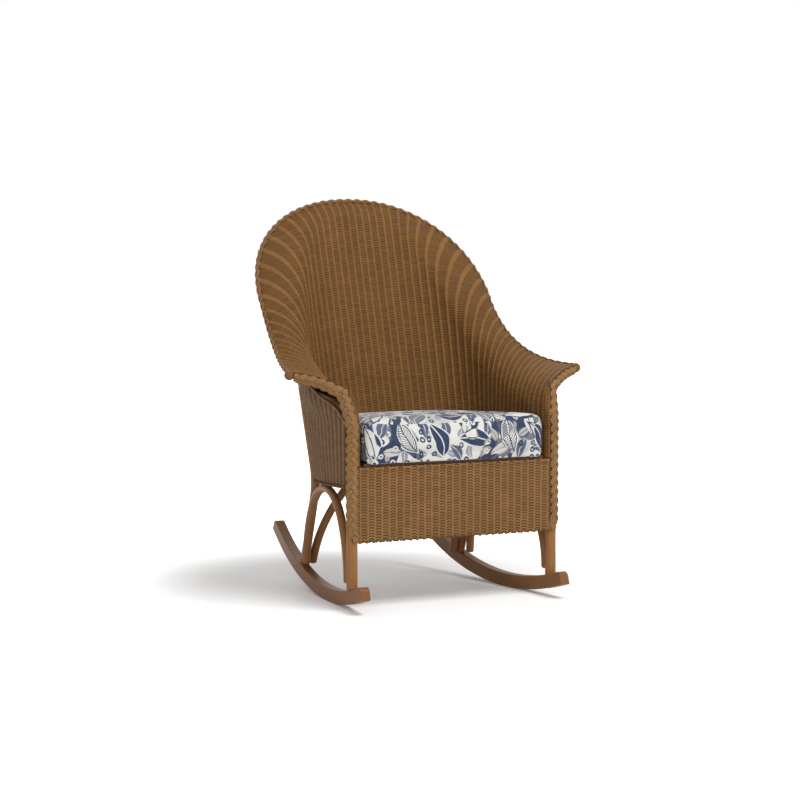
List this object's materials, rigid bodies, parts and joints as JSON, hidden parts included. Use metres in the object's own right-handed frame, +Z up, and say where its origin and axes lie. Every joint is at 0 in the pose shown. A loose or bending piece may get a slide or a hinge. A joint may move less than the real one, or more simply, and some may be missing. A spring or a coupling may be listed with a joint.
{
  "type": "rocking chair",
  "caption": "Rocking chair with a flared, rounded bucket of woven fibre over a bent-pole frame, plaited front edges, curved runners and a loose print cushion.",
  "frame": {"origin": "on the floor, below the middle of the chair's box", "axes": "+Z up, the sitter faces -Y, +X to the sitter's left, which is the viewer's right seen from the front"},
  "size_m": [0.8492, 0.7179, 1.052],
  "materials": {
    "frame_finish": "satin",
    "woven_fibre": "matte",
    "braided_fibre": "matte",
    "cushion_print": "matte",
    "deck_board": "matte",
    "screw_steel": "satin"
  },
  "bodies": {
    "root": {"back_arch": "frame_finish", "front_apron": "woven_fibre", "front_seat_rail": "frame_finish", "left_arm_rail": "frame_finish", "left_front_braid": "braided_fibre", "left_front_leg": "frame_finish", "left_rear_post": "frame_finish", "left_runner": "frame_finish", "left_side_arch": "frame_finish", "left_side_panel": "woven_fibre", "leg_screws": "screw_steel", "rear_apron": "woven_fibre", "right_arm_rail": "frame_finish", "right_front_braid": "braided_fibre", "right_front_leg": "frame_finish", "right_rear_post": "frame_finish", "right_runner": "frame_finish", "right_side_arch": "frame_finish", "right_side_panel": "woven_fibre", "rim_rod": "frame_finish", "rim_trim": "braided_fibre", "seat_cushion": "cushion_print", "seat_deck": "deck_board", "seat_hoop": "frame_finish", "upper_back_rail": "frame_finish", "woven_shell": "woven_fibre"}
  },
  "joints": []
}
